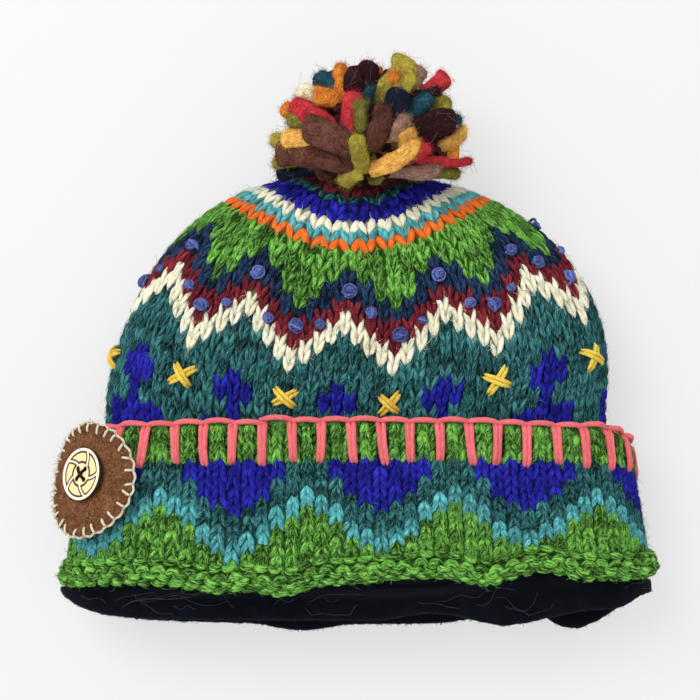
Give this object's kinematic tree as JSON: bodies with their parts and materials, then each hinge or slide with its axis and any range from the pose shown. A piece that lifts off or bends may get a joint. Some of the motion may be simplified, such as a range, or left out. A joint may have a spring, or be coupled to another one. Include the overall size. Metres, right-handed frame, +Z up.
{
  "type": "bobble hat",
  "caption": "Knitted wool hat with a turned-up cuff, fleece lining band, felt-strip bobble and a button sewn through a felt patch, lying flat on its back",
  "frame": {"origin": "centre of the hat's footprint, on the surface that it lies on", "axes": "+X across the hat to the right as seen from above, +Y from the opening to the bobble, +Z up from the surface, out of the hat's front"},
  "size_m": [0.2706, 0.2603, 0.0851],
  "materials": {
    "crown_wool": "hand-knitted wool in a many-coloured traditional zigzag pattern on teal",
    "cuff_wool": "hand-knitted wool, green with turquoise, teal and blue zigzags, garter hem",
    "fleece": "near-black brushed fleece",
    "felt_strips": "soft felted wool strips in many colours",
    "brown_felt": "pressed wool felt",
    "button_wood": "pale satin face with a burnt-in pinwheel, dark brown edge",
    "dark_thread": "dark brown cotton thread"
  },
  "bodies": {
    "root": {"crown": "crown_wool", "cuff": "cuff_wool", "lining": "fleece", "bobble": "felt_strips", "felt_patch": "brown_felt", "button": "button_wood", "button_thread": "dark_thread"}
  },
  "joints": []
}
